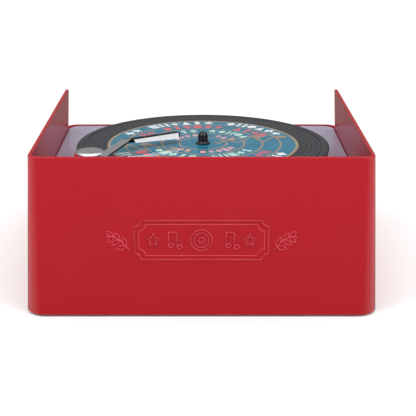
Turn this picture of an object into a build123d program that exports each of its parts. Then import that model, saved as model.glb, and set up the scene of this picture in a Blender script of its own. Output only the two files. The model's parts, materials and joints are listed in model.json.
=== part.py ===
from build123d import *
from math import cos, radians, sin, tan
import os

# Tabletop record player: a moulded case with three high walls and a low front, a deck
# plate that carries a belt-driven platter, and a pivoting arm at the rear right.
# Millimetres. The origin is the centre of the footprint on the table, +Z is up, the
# controls face -Y, and the tall plain wall with its ornament is the back, at +Y.

os.makedirs("parts", exist_ok=True)

# ---------------------------------------------------------------- driving dimensions
CASE_SIDE = 219.9  # footprint, measured where the drafted walls would meet the table
DRAFT = 2.8  # degrees that every outside wall leans in
WALL = 2.4
CORNER_R = 12.5
SHELL_BOTTOM = 1.5
WALL_TOP = 101.7
SIDE_END_Y = -92.2  # the side walls stop here and the front drops to the deck
SIDE_END_R = 2.6  # rounding of the upper front corner of each side wall
DECK_TOP = 69.4
DECK_THICK = 2.2
FRONT_RIM = 0.5  # the front wall stands this much above the deck
LEDGE = 2.6
BASE_BOTTOM = 3.5
BASE_THICK = 2.5
POST_X, POST_Y, POST_R = 92.0, 84.0, 4.5

SPINDLE_X = -1.0
RECORD_R = 87.5  # a seven-inch disc
RECORD_THICK = 1.9
RECORD_TOP = 82.4
RECORD_HOLE_R = 3.6
LABEL_R = 66.3
LABEL_THICK = 0.2
PLATTER_R = 86.6
SHAFT_R = 3.0
RUNNING = 0.05  # radial clearance of every shaft that turns

ARM_X, ARM_Y = 70.3, 70.5  # axis of the arm's turret
ARM_WIDTH, ARM_THICK = 6.0, 1.6
ARM_RISE = 1.5  # top of the arm above the axis of its pin, and radius of its knuckle
ARM_OFFSET = 7.56  # from the turret's axis to the middle of the arm
ARM_HEADING = -102.1  # direction of the first stretch of the arm, degrees from +X
ARM_SLOPE = 3.7  # degrees that it runs down towards the elbow
ARM_REACH = 58.5  # pivot pin to elbow
ARM_PIN_Z = 92.0
HEAD_HEADING = -151.8
HEAD_LENGTH = 39.2
HEAD_DEPTH = 4.4
TIP_R = 1.2
HEAD_TOP, HEAD_BOTTOM = 89.9, 86.0
HEAD_TOP_DROP, HEAD_BOTTOM_RISE = 0.8, 1.2  # taper of the headshell towards the elbow
FACE_LEAN = 22.0  # degrees that the bright face of the headshell leans back
FACE_START, FACE_END = 4.2, 1.6  # from the elbow to the face, and from the face to the tip

MOTOR_X, MOTOR_Y = SPINDLE_X - 41.0, 41.0
PULLEY_R, DRIVE_R = 5.0, 32.0
BELT_THICK, BELT_HEIGHT, BELT_GAP = 0.9, 3.6, 0.1

PANEL_Z = 36.0  # height of the row of front controls
KNOB_X = 80.0
DISH_R, DISH_DEPTH = 12.4, 7.0  # the knob sits in a round dish of the front wall
BUTTON_XS = (-88.0, -71.0)
GRILLE_W, GRILLE_H = 112.0, 42.0

slope = tan(radians(DRAFT))


def half_side(z):
    """Half the outside width of the drafted case at height z."""
    return CASE_SIDE / 2 - z * slope


def save(piece, name):
    """Label a finished piece and write its STEP file."""
    piece.label = name
    export_step(piece, "parts/" + name + ".step")


# ---------------------------------------------------------------- case and deck
inner_bottom = half_side(SHELL_BOTTOM) - WALL
shell_height = WALL_TOP - SHELL_BOTTOM
deck_bottom = DECK_TOP - DECK_THICK
base_top = BASE_BOTTOM + BASE_THICK
front_cut = DECK_TOP + FRONT_RIM
panel = Plane(
    origin=(0, -half_side(PANEL_Z), PANEL_Z),
    x_dir=(1, 0, 0),
    z_dir=(0, -cos(radians(DRAFT)), sin(radians(DRAFT))),
)  # lies on the outside of the front wall: local y is up, local z is outwards
BUTTON_R = 6.0
BUSH_HOLE_R = 3.6


def inner_ring(bottom, height):
    """Ledge around the inside of the case, rooted half way into the wall."""
    reach = half_side(bottom) - WALL
    opening = 2 * (reach - LEDGE)
    with BuildPart() as ring:
        with BuildSketch(Plane.XY.offset(bottom)):
            RectangleRounded(2 * reach + WALL, 2 * reach + WALL, CORNER_R - WALL)
            RectangleRounded(opening, opening, CORNER_R - 2 * WALL, mode=Mode.SUBTRACT)
        extrude(amount=height)
    return ring.part


LEDGE_THICK = 2.0
deck_ledge = inner_ring(deck_bottom - LEDGE_THICK, LEDGE_THICK)
base_ledge = inner_ring(base_top, LEDGE_THICK)

with BuildPart() as case_shell:
    with BuildSketch(Plane.XY.offset(SHELL_BOTTOM)):
        RectangleRounded(2 * half_side(SHELL_BOTTOM), 2 * half_side(SHELL_BOTTOM), CORNER_R)
    extrude(amount=shell_height, taper=DRAFT)
    with BuildSketch(Plane.XY.offset(SHELL_BOTTOM)):
        RectangleRounded(2 * inner_bottom, 2 * inner_bottom, CORNER_R - WALL)
    extrude(amount=shell_height, taper=DRAFT, mode=Mode.SUBTRACT)
    with BuildSketch(Plane.XY.offset(front_cut)):
        with Locations((0, SIDE_END_Y - CASE_SIDE / 2)):
            Rectangle(2 * CASE_SIDE, CASE_SIDE)
    extrude(amount=WALL_TOP, mode=Mode.SUBTRACT)
    side_ends = case_shell.edges().filter_by(Axis.X).filter_by(lambda e: e.center().Y < SIDE_END_Y + 0.01)
    fillet(side_ends.filter_by(lambda e: e.center().Z > WALL_TOP - 0.01), SIDE_END_R)
    rim = case_shell.edges().filter_by(lambda e: e.bounding_box().min.Z > WALL_TOP - 0.01)
    fillet(rim, 0.7)
    add(deck_ledge)
    add(base_ledge)
    with BuildSketch(panel.offset(-WALL / 2)):
        with Locations((KNOB_X, 0)):
            Circle(DISH_R + WALL)
    extrude(amount=-DISH_DEPTH - WALL / 2)
    with BuildSketch(panel):
        with Locations((KNOB_X, 0)):
            Circle(DISH_R)
    extrude(amount=-DISH_DEPTH, mode=Mode.SUBTRACT)
    # openings of the front wall: grille, volume bush and two buttons
    with BuildSketch(panel):
        RectangleRounded(GRILLE_W + 0.5, GRILLE_H + 0.5, 6.2)
        with Locations(*[(x, 0) for x in BUTTON_XS]):
            Circle(BUTTON_R + 0.3)
    extrude(amount=-WALL - 1.2, mode=Mode.SUBTRACT)
    with BuildSketch(panel):
        with Locations((KNOB_X, 0)):
            Circle(BUSH_HOLE_R)
    extrude(amount=-2 * DISH_DEPTH, mode=Mode.SUBTRACT)
save(case_shell.part, "case_shell")

BUSH_R = 5.0
BUSH_BOTTOM = 55.0
PILOT_R = 1.3  # hole that a screw cuts its thread in, and the radius of that screw
CLEAR_R = 1.7  # hole that a screw passes through
MOTOR_SCREW_PITCH = 17.0
deck_half = half_side(DECK_TOP) - WALL - 0.3
motor_screws_at = [(MOTOR_X + end * MOTOR_SCREW_PITCH / 2, MOTOR_Y) for end in (-1, 1)]
with BuildPart() as deck_plate:
    with BuildSketch(Plane.XY.offset(deck_bottom)):
        RectangleRounded(2 * deck_half, 2 * deck_half, CORNER_R - WALL - 0.3)
    extrude(amount=DECK_THICK)
    fillet(deck_plate.faces().sort_by(Axis.Z)[-1].edges(), 0.5)
    with BuildSketch(Plane.XY.offset(deck_bottom)):
        with GridLocations(2 * POST_X, 2 * POST_Y, 2, 2):
            Circle(POST_R)
    extrude(amount=base_top - deck_bottom)
    with BuildSketch(Plane.XY.offset(deck_bottom)):
        with Locations((SPINDLE_X, 0)):
            Circle(2 * BUSH_R)
    extrude(amount=BUSH_BOTTOM - deck_bottom)
    with BuildSketch(Plane.XY.offset(base_top)):
        with GridLocations(2 * POST_X, 2 * POST_Y, 2, 2):
            Circle(PILOT_R)
    extrude(amount=14, mode=Mode.SUBTRACT)
    with BuildSketch(Plane.XY.offset(BUSH_BOTTOM)):
        with Locations((SPINDLE_X, 0)):
            Circle(BUSH_R)
        with Locations((ARM_X, ARM_Y)):
            Circle(SHAFT_R)
        with Locations((MOTOR_X, MOTOR_Y)):
            Circle(3.3)
        with Locations(*motor_screws_at):
            Circle(PILOT_R)
    extrude(amount=DECK_TOP - BUSH_BOTTOM + 1, mode=Mode.SUBTRACT)
save(deck_plate.part, "deck_plate")

# ---------------------------------------------------------------- base, feet, batteries
FOOT_X, FOOT_Y, FOOT_R = 88.0, 68.0, 7.0
BAY_X, BAY_Y0, BAY_Y1, BAY_TOP = 29.5, -60.0, -14.0, 20.0
BAY_WALL = 1.8
COVER_LIP = 4.5
COVER_THICK = 1.4
CELL_R, CELL_LENGTH = 7.1, 50.0
cover_mid_y = (BAY_Y0 + BAY_Y1) / 2 + 2.5
cover_w = 2 * (BAY_X + COVER_LIP)
cover_h = BAY_Y1 - BAY_Y0 + 2 * COVER_LIP + 5.0
cover_screw_y = BAY_Y1 + 5.6
bay_mid_y = (BAY_Y0 + BAY_Y1) / 2
base_half = half_side(BASE_BOTTOM) - WALL - 0.6
BOARD_X, BOARD_Y, BOARD_W, BOARD_H = -46.0, 52.0, 64.0, 48.0
BOARD_Z, BOARD_THICK = 12.0, 1.6
POST_INSET = 4.0
post_dx, post_dy = BOARD_W / 2 - POST_INSET, BOARD_H / 2 - POST_INSET
board_posts = [(BOARD_X + sx * post_dx, BOARD_Y + sy * post_dy) for sx in (-1, 1) for sy in (-1, 1)]
with BuildPart() as base_plate:
    with BuildSketch(Plane.XY.offset(BASE_BOTTOM)):
        RectangleRounded(2 * base_half, 2 * base_half, CORNER_R - WALL - 0.6)
    extrude(amount=BASE_THICK)
    with BuildSketch(Plane.XY.offset(base_top)):
        with Locations((0, bay_mid_y)):
            Rectangle(2 * (BAY_X + BAY_WALL), BAY_Y1 - BAY_Y0 + 2 * BAY_WALL)
    extrude(amount=BAY_TOP + BAY_WALL - base_top)
    with BuildSketch(Plane.XY.offset(base_top)):
        with Locations(*board_posts):
            Circle(3.0)
    extrude(amount=BOARD_Z - base_top)
    with BuildSketch(Plane.XY.offset(base_top)):
        with Locations((0, cover_screw_y)):
            Circle(3.6)
    extrude(amount=8)
    with BuildSketch(Plane.XY.offset(BASE_BOTTOM)):
        with Locations((0, bay_mid_y)):
            Rectangle(2 * BAY_X, BAY_Y1 - BAY_Y0)
    extrude(amount=BAY_TOP - BASE_BOTTOM, mode=Mode.SUBTRACT)
    with BuildSketch(Plane.XY.offset(BASE_BOTTOM)):
        with Locations((0, cover_mid_y)):
            RectangleRounded(cover_w + 0.5, cover_h + 0.5, 3.2)
    extrude(amount=COVER_THICK + 0.1, mode=Mode.SUBTRACT)
    with BuildSketch(Plane.XY.offset(BASE_BOTTOM)):
        with Locations((0, cover_screw_y)):
            Circle(PILOT_R)
    extrude(amount=9.5, mode=Mode.SUBTRACT)
    with BuildSketch(Plane.XY.offset(BOARD_Z)):
        with Locations(*board_posts):
            Circle(PILOT_R)
    extrude(amount=-6, mode=Mode.SUBTRACT)
    with BuildSketch(Plane.XY.offset(BASE_BOTTOM)):
        with GridLocations(2 * POST_X, 2 * POST_Y, 2, 2):
            Circle(CLEAR_R)
    extrude(amount=BASE_THICK, mode=Mode.SUBTRACT)
save(base_plate.part, "base_plate")

with BuildPart() as battery_cover:
    with BuildSketch(Plane.XY.offset(BASE_BOTTOM)):
        with Locations((0, cover_mid_y)):
            RectangleRounded(cover_w, cover_h, 3.0)
        with Locations((0, cover_screw_y)):
            Circle(CLEAR_R, mode=Mode.SUBTRACT)
    extrude(amount=COVER_THICK)
    # grip ribs on the outside
    with BuildSketch(Plane.XY.offset(BASE_BOTTOM)):
        with Locations((0, BAY_Y0 + 4)):
            with GridLocations(0, 3.0, 1, 3):
                Rectangle(24, 1.0)
    extrude(amount=-0.6)
save(battery_cover.part, "battery_cover")

with BuildPart() as rubber_feet:
    with BuildSketch(Plane.XY):
        with GridLocations(2 * FOOT_X, 2 * FOOT_Y, 2, 2):
            Circle(FOOT_R)
    extrude(amount=BASE_BOTTOM)
    fillet(rubber_feet.edges().group_by(Axis.Z)[0], 0.8)
save(rubber_feet.part, "rubber_feet")


def pan_screws(points, seat_z, shank_r, length, up):
    """Pan-head screws whose heads sit on seat_z and whose shanks point up or down."""
    turn = 1 if up else -1
    head_r = 2.0 * shank_r
    head_h = 1.4 * shank_r
    with BuildPart() as screws:
        with BuildSketch(Plane.XY.offset(seat_z)):
            with Locations(*points):
                Circle(head_r)
        extrude(amount=-turn * head_h)
        with BuildSketch(Plane.XY.offset(seat_z)):
            with Locations(*points):
                Circle(shank_r)
        extrude(amount=turn * length)
        with BuildSketch(Plane.XY.offset(seat_z - turn * head_h)):
            with Locations(*points):
                Rectangle(1.3 * head_r, 0.25 * head_r)
                Rectangle(0.25 * head_r, 1.3 * head_r)
        extrude(amount=turn * 0.5 * head_h, mode=Mode.SUBTRACT)
    return screws.part


corner_points = [(sx * POST_X, sy * POST_Y) for sx in (-1, 1) for sy in (-1, 1)]
save(pan_screws(corner_points, BASE_BOTTOM, PILOT_R, 13, True), "case_screws")
save(pan_screws([(0, cover_screw_y)], BASE_BOTTOM, PILOT_R, 9, True), "battery_cover_screw")
save(pan_screws(motor_screws_at, DECK_TOP, PILOT_R, 6, False), "motor_screws")

cell_rows = [bay_mid_y - 15.0, bay_mid_y, bay_mid_y + 15.0]
cell_z = BASE_BOTTOM + COVER_THICK + 0.6 + CELL_R
with BuildPart() as batteries:
    with BuildSketch(Plane.YZ.offset(-CELL_LENGTH / 2)):
        with Locations(*[(y, cell_z) for y in cell_rows]):
            Circle(CELL_R)
    extrude(amount=CELL_LENGTH - 1)
    for row, y in enumerate(cell_rows):
        nose = 1 if row % 2 == 0 else -1
        with BuildSketch(Plane.YZ.offset(nose * CELL_LENGTH / 2 - (1 if nose > 0 else 0))):
            with Locations((y, cell_z)):
                Circle(2.7)
        extrude(amount=nose * 1.4)
save(batteries.part, "batteries")

with BuildPart() as battery_contacts:
    for end in (-1, 1):
        with BuildSketch(Plane.YZ.offset(end * BAY_X)):
            with Locations(*[(y, cell_z) for y in cell_rows]):
                RectangleRounded(10, 10, 1)
        extrude(amount=-end * 0.5)
        with BuildSketch(Plane.YZ.offset(end * (BAY_X - 0.5))):
            with Locations(*[(y, cell_z) for y in cell_rows]):
                Circle(3.2)
        extrude(amount=-end * 2.2, taper=18)
save(battery_contacts.part, "battery_contacts")

# ---------------------------------------------------------------- circuit boards
with BuildPart() as main_board:
    with BuildSketch(Plane.XY.offset(BOARD_Z)):
        with Locations((BOARD_X, BOARD_Y)):
            Rectangle(BOARD_W, BOARD_H)
        with Locations(*board_posts):
            Circle(1.5, mode=Mode.SUBTRACT)
    extrude(amount=BOARD_THICK)
save(main_board.part, "main_board")

with BuildPart() as board_components:
    with BuildSketch(Plane.XY.offset(BOARD_Z + BOARD_THICK)):
        with Locations((BOARD_X - 8, BOARD_Y)):
            Rectangle(10, 14)
        with Locations((BOARD_X + 12, BOARD_Y - 12)):
            Rectangle(8, 6)
    extrude(amount=2.4)
    with BuildSketch(Plane.XY.offset(BOARD_Z + BOARD_THICK)):
        with Locations((BOARD_X + 14, BOARD_Y + 10)):
            Circle(4)
        with Locations((BOARD_X + 24, BOARD_Y + 10)):
            Circle(4)
        with Locations((BOARD_X - 24, BOARD_Y - 8)):
            Circle(3)
    extrude(amount=11)
save(board_components.part, "board_components")
save(pan_screws(board_posts, BOARD_Z + BOARD_THICK, PILOT_R, 7, False), "board_screws")

# ---------------------------------------------------------------- front controls
WALL_IN = -WALL  # inside of the front wall, in the panel's own depth
SLOT_STEP, SLOT_W, SLOT_H = 5.6, 2.6, 30.0
SLOT_COUNT = 17
FLANGE = 4.0
flange_back = WALL_IN - 1.8
with BuildPart() as speaker_grille:
    with BuildSketch(panel.offset(0.9)):
        RectangleRounded(GRILLE_W, GRILLE_H, 6)
    extrude(amount=-0.9 + flange_back)
    fillet(speaker_grille.faces().sort_by(Axis.Y)[0].edges(), 0.6)
    with BuildSketch(panel.offset(flange_back)):
        RectangleRounded(GRILLE_W + 2 * FLANGE, GRILLE_H + 2 * FLANGE, 7)
    extrude(amount=1.7)
    with BuildSketch(panel.offset(2)):
        with GridLocations(SLOT_STEP, 0, SLOT_COUNT, 1):
            SlotOverall(SLOT_H, SLOT_W, rotation=90)
    extrude(amount=-2 + flange_back - 1, mode=Mode.SUBTRACT)
save(speaker_grille.part, "speaker_grille")

SPEAKER_R = 26.0
SPEAKER_MOUTH = 21.5
frame_front = flange_back
with BuildPart() as speaker_frame:
    with BuildSketch(panel.offset(frame_front)):
        Circle(SPEAKER_R)
        Circle(SPEAKER_MOUTH, mode=Mode.SUBTRACT)
    extrude(amount=-1.6)
    with BuildSketch(panel.offset(frame_front - 1.6)):
        Circle(SPEAKER_MOUTH + 1.2)
    with BuildSketch(panel.offset(frame_front - 13)):
        Circle(12.4)
    loft()
    with BuildSketch(panel.offset(frame_front)):
        Circle(SPEAKER_MOUTH)
    with BuildSketch(panel.offset(frame_front - 12)):
        Circle(11.4)
    loft(mode=Mode.SUBTRACT)
    with BuildSketch(panel.offset(frame_front - 11)):
        Circle(7)
    extrude(amount=-4, mode=Mode.SUBTRACT)
save(speaker_frame.part, "speaker_frame")

with BuildPart() as speaker_magnet:
    with BuildSketch(panel.offset(frame_front - 13)):
        Circle(15)
    extrude(amount=-9)
    chamfer(speaker_magnet.edges(), 0.6)
save(speaker_magnet.part, "speaker_magnet")

with BuildPart() as speaker_cone:
    with BuildSketch(panel.offset(frame_front - 0.4)):
        Circle(SPEAKER_MOUTH - 0.4)
    with BuildSketch(panel.offset(frame_front - 10.4)):
        Circle(6.4)
    loft()
    with BuildSketch(panel.offset(frame_front - 0.4)):
        Circle(SPEAKER_MOUTH - 1.4)
    with BuildSketch(panel.offset(frame_front - 9.4)):
        Circle(6.0)
    loft(mode=Mode.SUBTRACT)
save(speaker_cone.part, "speaker_cone")

BUTTON_TRAVEL = 1.2
BUTTON_PROUD = 2.2
BUTTON_FLANGE = WALL_IN - 0.2
SWITCH_TOP = BUTTON_FLANGE - 1.4 - 2.4
BOARD_FRONT = SWITCH_TOP - 3.6


def push_button(x):
    """Round button with a retaining flange behind the wall and a stem to its switch."""
    with BuildPart() as button:
        with BuildSketch(panel.offset(BUTTON_PROUD)):
            with Locations((x, 0)):
                Circle(BUTTON_R)
        extrude(amount=BUTTON_FLANGE - BUTTON_PROUD)
        fillet(button.faces().sort_by(Axis.Y)[0].edges(), 0.7)
        with BuildSketch(panel.offset(BUTTON_FLANGE)):
            with Locations((x, 0)):
                Circle(BUTTON_R + 1.4)
        extrude(amount=-1.2)
        with BuildSketch(panel.offset(BUTTON_FLANGE - 1.2)):
            with Locations((x, 0)):
                Circle(1.6)
        extrude(amount=SWITCH_TOP + 0.1 - BUTTON_FLANGE + 1.2)
    return button.part


save(push_button(BUTTON_XS[0]), "power_button")
save(push_button(BUTTON_XS[1]), "play_button")

button_mid = sum(BUTTON_XS) / 2
with BuildPart() as button_switches:
    with BuildSketch(panel.offset(BOARD_FRONT)):
        with Locations(*[(x, 0) for x in BUTTON_XS]):
            Rectangle(6, 6)
    extrude(amount=SWITCH_TOP - BUTTON_TRAVEL - 0.2 - BOARD_FRONT)
save(button_switches.part, "button_switches")

board_screw_points = [(button_mid, 12.5), (button_mid, -12.5)]
with BuildPart() as button_board:
    with BuildSketch(panel.offset(BOARD_FRONT)):
        with Locations((button_mid, 0)):
            RectangleRounded(34, 32, 2)
        with Locations(*board_screw_points):
            Circle(1.35, mode=Mode.SUBTRACT)
    extrude(amount=-BOARD_THICK)
save(button_board.part, "button_board")

with BuildPart() as board_spacers:
    with BuildSketch(panel.offset(BOARD_FRONT)):
        with Locations(*board_screw_points):
            Circle(3.2)
    extrude(amount=WALL_IN - BOARD_FRONT)
    with BuildSketch(panel.offset(BOARD_FRONT)):
        with Locations(*board_screw_points):
            Circle(1.3)
    extrude(amount=WALL_IN - BOARD_FRONT - 1, mode=Mode.SUBTRACT)
save(board_spacers.part, "board_spacers")

with BuildPart() as button_board_screws:
    with BuildSketch(panel.offset(BOARD_FRONT - BOARD_THICK)):
        with Locations(*board_screw_points):
            Circle(2.5)
    extrude(amount=-1.6)
    with BuildSketch(panel.offset(BOARD_FRONT - BOARD_THICK)):
        with Locations(*board_screw_points):
            Circle(1.3)
    extrude(amount=5)
save(button_board_screws.part, "button_board_screws")

KNOB_R = 11.0
KNOB_BACK, KNOB_FRONT = -6.0, 3.2
KNOB_RIBS = 24
DISH_FLOOR = -DISH_DEPTH
POT_FRONT = DISH_FLOOR - WALL
POT_BACK = POT_FRONT - 8.6
VOL_SHAFT_R = 2.0
with BuildPart() as volume_pot:
    with BuildSketch(panel.offset(POT_FRONT)):
        with Locations((KNOB_X, 0)):
            RectangleRounded(16, 16, 1.5)
    extrude(amount=POT_BACK - POT_FRONT)
    with BuildSketch(panel.offset(POT_FRONT)):
        with Locations((KNOB_X, 0)):
            Circle(BUSH_HOLE_R - 0.1)
    extrude(amount=WALL + 3.0)
    with BuildSketch(panel.offset(POT_BACK + 2)):
        with Locations((KNOB_X, 0)):
            Circle(VOL_SHAFT_R + RUNNING)
    extrude(amount=20, mode=Mode.SUBTRACT)
save(volume_pot.part, "volume_pot")

with BuildPart() as volume_nut:
    with BuildSketch(panel.offset(DISH_FLOOR)):
        with Locations((KNOB_X, 0)):
            RegularPolygon(5.6, 6)
            Circle(BUSH_HOLE_R - 0.1, mode=Mode.SUBTRACT)
    extrude(amount=1.8)
save(volume_nut.part, "volume_nut")

with BuildPart() as volume_shaft:
    with BuildSketch(panel.offset(POT_BACK + 2.4)):
        with Locations((KNOB_X, 0)):
            Circle(VOL_SHAFT_R)
    extrude(amount=KNOB_FRONT - 2.0 - POT_BACK - 2.4)
save(volume_shaft.part, "volume_shaft")

with BuildPart() as volume_knob:
    with BuildSketch(panel.offset(KNOB_BACK)):
        with Locations((KNOB_X, 0)):
            Circle(KNOB_R)
            with PolarLocations(KNOB_R, KNOB_RIBS):
                Circle(0.55, mode=Mode.SUBTRACT)
    extrude(amount=KNOB_FRONT - KNOB_BACK)
    with BuildSketch(panel.offset(KNOB_BACK)):
        with Locations((KNOB_X, 0)):
            Circle(KNOB_R - 2.2)
    extrude(amount=4.6, mode=Mode.SUBTRACT)
    with BuildSketch(panel.offset(KNOB_BACK)):
        with Locations((KNOB_X, 0)):
            Circle(VOL_SHAFT_R)
    extrude(amount=KNOB_FRONT - 2.0 - KNOB_BACK, mode=Mode.SUBTRACT)
    # index groove across the front
    with BuildSketch(panel.offset(KNOB_FRONT)):
        with Locations((KNOB_X, KNOB_R * 0.62)):
            Rectangle(1.2, KNOB_R * 0.5)
    extrude(amount=-0.7, mode=Mode.SUBTRACT)
save(volume_knob.part, "volume_knob")

# ---------------------------------------------------------------- platter and drive
spindle_axis = (SPINDLE_X, 0)
MAT_THICK = 0.8
PLATTER_TOP = RECORD_TOP - RECORD_THICK - MAT_THICK
PLATTER_RIM_BOTTOM = 71.4
PLATTER_SKIN = 2.0
HUB_R = 9.0
HUB_BOTTOM = 71.2
BUSH_FLANGE_TOP = DECK_TOP + 1.0
SHAFT_BOTTOM = 50.0
CLIP_Z, CLIP_THICK = 53.6, 0.8
CLIP_GROOVE_R = SHAFT_R - 0.6
STUB_R, STUB_TALL = 2.0, 7.0  # top of the shaft, inside the spindle's cap
BELT_Z = 73.0
plate_bottom = PLATTER_TOP - PLATTER_SKIN

with BuildPart() as bearing_bush:
    with BuildSketch(Plane.XY.offset(BUSH_BOTTOM)):
        with Locations(spindle_axis):
            Circle(BUSH_R)
    extrude(amount=DECK_TOP - BUSH_BOTTOM)
    with BuildSketch(Plane.XY.offset(DECK_TOP)):
        with Locations(spindle_axis):
            Circle(BUSH_R + 3)
    extrude(amount=BUSH_FLANGE_TOP - DECK_TOP)
    with BuildSketch(Plane.XY.offset(BUSH_BOTTOM)):
        with Locations(spindle_axis):
            Circle(SHAFT_R + RUNNING)
    extrude(amount=BUSH_FLANGE_TOP - BUSH_BOTTOM, mode=Mode.SUBTRACT)
save(bearing_bush.part, "bearing_bush")

with BuildPart() as thrust_washer:
    with BuildSketch(Plane.XY.offset(BUSH_FLANGE_TOP)):
        with Locations(spindle_axis):
            Circle(BUSH_R + 2)
            Circle(SHAFT_R + 0.4, mode=Mode.SUBTRACT)
    extrude(amount=0.5)
save(thrust_washer.part, "thrust_washer")

with BuildPart() as platter:
    with BuildSketch(Plane.XY.offset(PLATTER_RIM_BOTTOM)):
        with Locations(spindle_axis):
            Circle(PLATTER_R)
    extrude(amount=PLATTER_TOP - PLATTER_RIM_BOTTOM)
    fillet(platter.edges(), 1.0)
    with BuildSketch(Plane.XY.offset(PLATTER_RIM_BOTTOM)):
        with Locations(spindle_axis):
            Circle(PLATTER_R - 3)
    extrude(amount=plate_bottom - PLATTER_RIM_BOTTOM, mode=Mode.SUBTRACT)
    with BuildSketch(Plane.XY.offset(PLATTER_RIM_BOTTOM + 0.6)):
        with Locations(spindle_axis):
            Circle(DRIVE_R)
            Circle(DRIVE_R - 2, mode=Mode.SUBTRACT)
    extrude(amount=plate_bottom - PLATTER_RIM_BOTTOM - 0.6)
    with BuildSketch(Plane.XY.offset(HUB_BOTTOM)):
        with Locations(spindle_axis):
            Circle(HUB_R)
    extrude(amount=plate_bottom - HUB_BOTTOM)
    with BuildSketch(Plane.XY.offset(HUB_BOTTOM)):
        with Locations(spindle_axis):
            Circle(SHAFT_R)
    extrude(amount=PLATTER_TOP - HUB_BOTTOM, mode=Mode.SUBTRACT)
save(platter.part, "platter")

with BuildPart() as slip_mat:
    with BuildSketch(Plane.XY.offset(PLATTER_TOP)):
        with Locations(spindle_axis):
            Circle(PLATTER_R - 2)
            Circle(RECORD_HOLE_R, mode=Mode.SUBTRACT)
    extrude(amount=MAT_THICK)
save(slip_mat.part, "slip_mat")

with BuildPart() as platter_shaft:
    with BuildSketch(Plane.XY.offset(SHAFT_BOTTOM)):
        with Locations(spindle_axis):
            Circle(SHAFT_R)
    extrude(amount=PLATTER_TOP - SHAFT_BOTTOM)
    with BuildSketch(Plane.XY.offset(PLATTER_TOP)):
        with Locations(spindle_axis):
            Circle(SHAFT_R + 0.5)
    extrude(amount=RECORD_TOP - PLATTER_TOP)
    with BuildSketch(Plane.XY.offset(RECORD_TOP)):
        with Locations(spindle_axis):
            Circle(STUB_R)
    extrude(amount=STUB_TALL)
    with BuildSketch(Plane.XY.offset(CLIP_Z)):
        with Locations(spindle_axis):
            Circle(SHAFT_R + 1)
            Circle(CLIP_GROOVE_R, mode=Mode.SUBTRACT)
    extrude(amount=CLIP_THICK, mode=Mode.SUBTRACT)
save(platter_shaft.part, "platter_shaft")

with BuildPart() as shaft_clip:
    with BuildSketch(Plane.XY.offset(CLIP_Z)):
        with Locations(spindle_axis):
            Circle(SHAFT_R + 2.2)
            Circle(CLIP_GROOVE_R, mode=Mode.SUBTRACT)
        with Locations((SPINDLE_X, SHAFT_R + 1)):
            Rectangle(3.0, 4.4, mode=Mode.SUBTRACT)
    extrude(amount=CLIP_THICK)
save(shaft_clip.part, "shaft_clip")

# the record: raised edge bead, five playing bands and a slightly sunk label seat
BAND_COUNT = 5
BAND_INNER = LABEL_R + 2.0
band_step = (RECORD_R - 1.6 - BAND_INNER) / BAND_COUNT
label_seat = RECORD_TOP - 0.1
with BuildPart() as record:
    with BuildSketch(Plane.XY.offset(RECORD_TOP - RECORD_THICK)):
        with Locations(spindle_axis):
            Circle(RECORD_R)
            Circle(RECORD_HOLE_R, mode=Mode.SUBTRACT)
    extrude(amount=RECORD_THICK)
    circles = record.edges().filter_by(GeomType.CIRCLE)
    fillet(circles.filter_by(lambda e: e.radius > RECORD_R / 2), 0.7)
    with BuildSketch(Plane.XY.offset(label_seat)):
        with Locations(spindle_axis):
            Circle(LABEL_R + 0.15)
    extrude(amount=1, mode=Mode.SUBTRACT)
    with BuildSketch(Plane.XY.offset(RECORD_TOP - 0.25)):
        for band in range(BAND_COUNT):
            gap_r = BAND_INNER + band * band_step
            with Locations(spindle_axis):
                Circle(gap_r + 0.35)
                Circle(gap_r - 0.35, mode=Mode.SUBTRACT)
    extrude(amount=1, mode=Mode.SUBTRACT)
save(record.part, "record")

with BuildPart() as record_label:
    with BuildSketch(Plane.XY.offset(label_seat)):
        with Locations(spindle_axis):
            Circle(LABEL_R)
            Circle(RECORD_HOLE_R + 0.1, mode=Mode.SUBTRACT)
    extrude(amount=LABEL_THICK)
save(record_label.part, "record_label")

SPINDLE_TALL = 8.8
FLANGE_R, SPINDLE_R = 5.0, 3.45
cap_bottom = label_seat + LABEL_THICK
dome_bottom = RECORD_TOP + SPINDLE_TALL - SPINDLE_R
with BuildPart() as spindle_cap:
    with BuildSketch(Plane.XZ):
        with BuildLine():
            Polyline((0, cap_bottom), (FLANGE_R, cap_bottom), (FLANGE_R, cap_bottom + 0.7))
            TangentArc((FLANGE_R, cap_bottom + 0.7), (SPINDLE_R, cap_bottom + 2.4), tangent=(-1, 0.1))
            Line((SPINDLE_R, cap_bottom + 2.4), (SPINDLE_R, dome_bottom))
            RadiusArc((SPINDLE_R, dome_bottom), (0, dome_bottom + SPINDLE_R), -SPINDLE_R)
            Line((0, dome_bottom + SPINDLE_R), (0, cap_bottom))
        make_face()
    revolve(axis=Axis.Z)
    with BuildSketch(Plane.XY.offset(cap_bottom)):
        Circle(STUB_R)
    extrude(amount=RECORD_TOP + STUB_TALL - cap_bottom, mode=Mode.SUBTRACT)
spindle_cap_placed = Pos(SPINDLE_X, 0, 0) * spindle_cap.part
save(spindle_cap_placed, "spindle_cap")

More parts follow.
